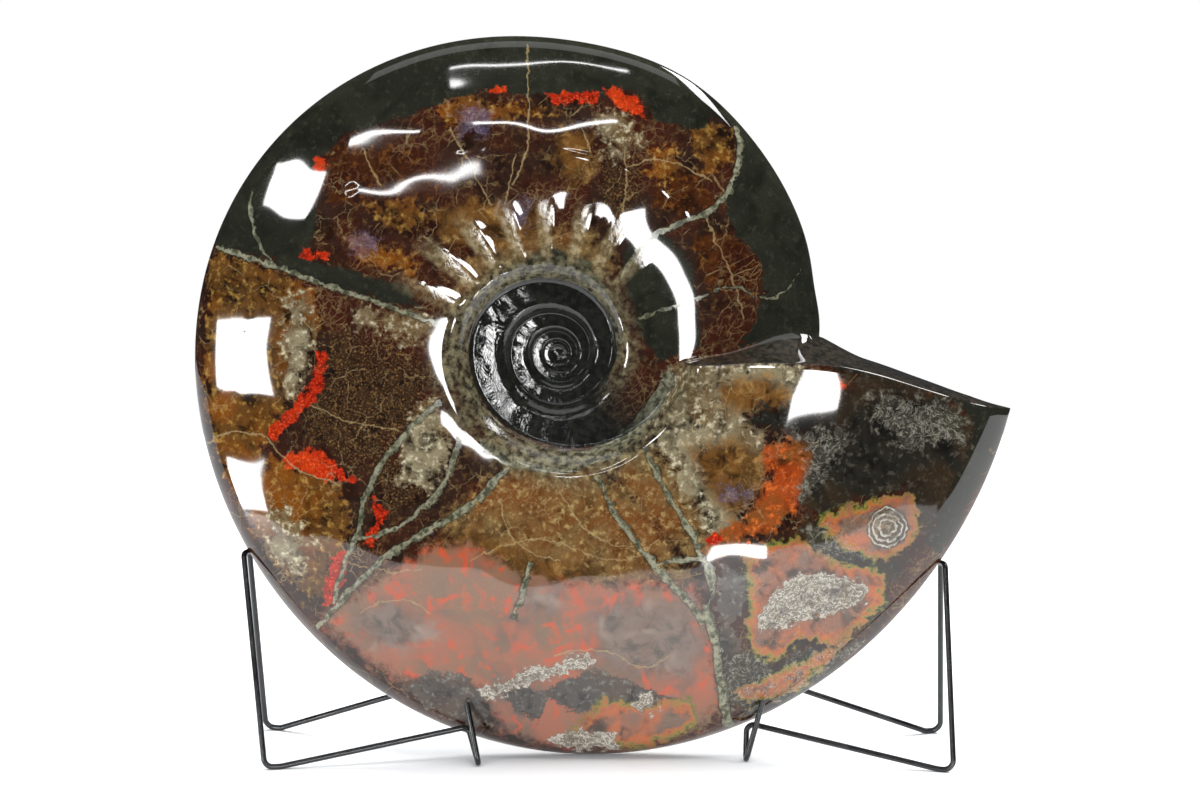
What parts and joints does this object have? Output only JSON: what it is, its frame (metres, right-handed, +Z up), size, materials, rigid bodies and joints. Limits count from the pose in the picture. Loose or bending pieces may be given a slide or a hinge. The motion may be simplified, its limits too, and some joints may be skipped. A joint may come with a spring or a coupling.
{
  "type": "polished ammonite fossil on a wire display stand",
  "caption": "Large polished Craspedodiscus ammonite standing on its keel in a bent-wire display stand, with an open umbilicus and a cut, polished aperture.",
  "frame": {"origin": "on the table, under the middle of the whole object's bounding box", "axes": "+Z up, +X to the right as seen from the front, where the aperture is; the pictured side faces -Y"},
  "size_m": [0.4532, 0.096, 0.4022],
  "materials": {
    "polished_shell": "fossil shell with red and green iridescence, ground and polished to a mirror gloss",
    "black_wire": "steel wire with a satin black coating"
  },
  "bodies": {
    "root": {"ammonite": "polished_shell", "stand_left": "black_wire", "stand_right": "black_wire"}
  },
  "joints": []
}
